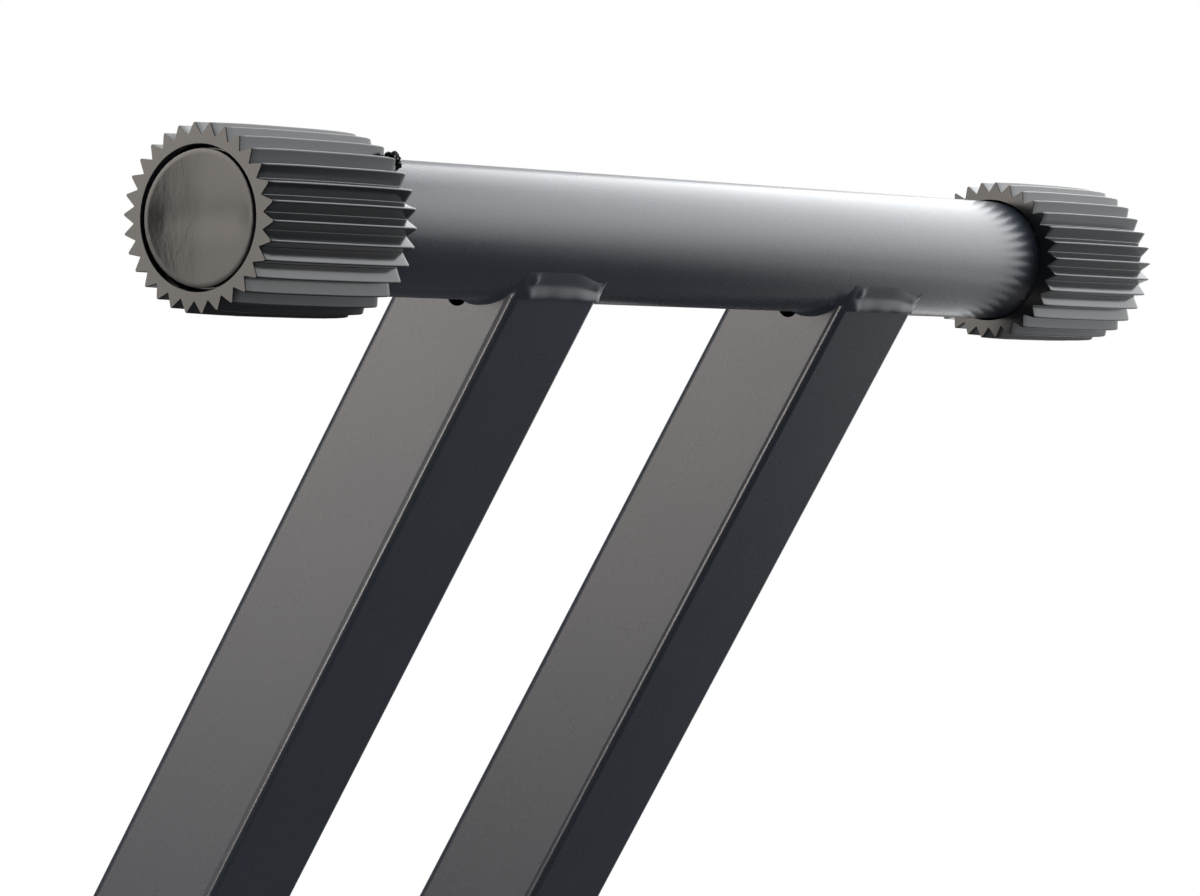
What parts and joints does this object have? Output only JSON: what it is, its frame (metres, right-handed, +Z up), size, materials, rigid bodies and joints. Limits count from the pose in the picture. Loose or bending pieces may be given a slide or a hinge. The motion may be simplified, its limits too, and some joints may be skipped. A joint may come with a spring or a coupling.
{
  "type": "folding keyboard stand",
  "caption": "Folding scissor stand for a keyboard: paired rectangular legs, round support and foot bars with ribbed end caps, and a pull-pin latch at the pivot.",
  "frame": {"origin": "on the floor, under the pivot, at the middle of the stand's width and depth", "axes": "+Z up; +Y along the bars, from the latch side at the front to the rear; +X to the right, across the scissor legs"},
  "size_m": [0.5468, 0.46, 0.8445],
  "materials": {
    "powder_coat": "dark grey satin powder coat with a fine orange peel",
    "cap_plastic": "matte moulded dark grey plastic with a fine grain",
    "plug_plastic": "semi-matte moulded black-grey plastic",
    "zinc_steel": "bright zinc plate",
    "nylon": "natural nylon",
    "spring_steel": "drawn spring wire",
    "knob_plastic": "black moulded knob"
  },
  "bodies": {
    "outer_frame": {"top_bar_right": "powder_coat", "foot_bar_left": "powder_coat", "top_bar_right_cap_front": "cap_plastic", "top_bar_right_cap_rear": "cap_plastic", "foot_bar_left_cap_front": "cap_plastic", "foot_bar_left_cap_rear": "cap_plastic", "top_bar_right_plug_front": "plug_plastic", "top_bar_right_plug_rear": "plug_plastic", "foot_bar_left_plug_front": "plug_plastic", "foot_bar_left_plug_rear": "plug_plastic", "outer_leg_front": "powder_coat", "outer_leg_rear": "powder_coat", "outer_sleeve_front": "zinc_steel", "outer_sleeve_rear": "zinc_steel", "pivot_bolt": "zinc_steel", "pivot_washer_front": "zinc_steel", "pivot_washer_rear": "zinc_steel", "pivot_lock_nut": "zinc_steel", "glide_washer_front": "nylon", "glide_washer_rear": "nylon", "latch_housing": "powder_coat", "latch_guide": "zinc_steel", "latch_spring": "spring_steel"},
    "inner_frame": {"top_bar_left": "powder_coat", "foot_bar_right": "powder_coat", "top_bar_left_cap_front": "cap_plastic", "top_bar_left_cap_rear": "cap_plastic", "foot_bar_right_cap_front": "cap_plastic", "foot_bar_right_cap_rear": "cap_plastic", "top_bar_left_plug_front": "plug_plastic", "top_bar_left_plug_rear": "plug_plastic", "foot_bar_right_plug_front": "plug_plastic", "foot_bar_right_plug_rear": "plug_plastic", "inner_leg_front": "powder_coat", "inner_leg_rear": "powder_coat", "inner_sleeve_front": "zinc_steel", "inner_sleeve_rear": "zinc_steel", "centre_spacer": "zinc_steel", "index_plate": "powder_coat"},
    "latch_pull": {"latch_pin": "zinc_steel", "latch_clip": "zinc_steel", "latch_knob": "knob_plastic"}
  },
  "joints": [
    {"name": "fold", "type": "hinge", "parent": "outer_frame", "child": "inner_frame", "pos_m": [0, 0, 0.42224], "axis": [0, 1, 0], "range_deg": [-45, 59]},
    {"name": "latch_slide", "type": "slide", "parent": "outer_frame", "child": "latch_pull", "axis": [0, 1, 0], "range_m": [0, 0.007]}
  ]
}
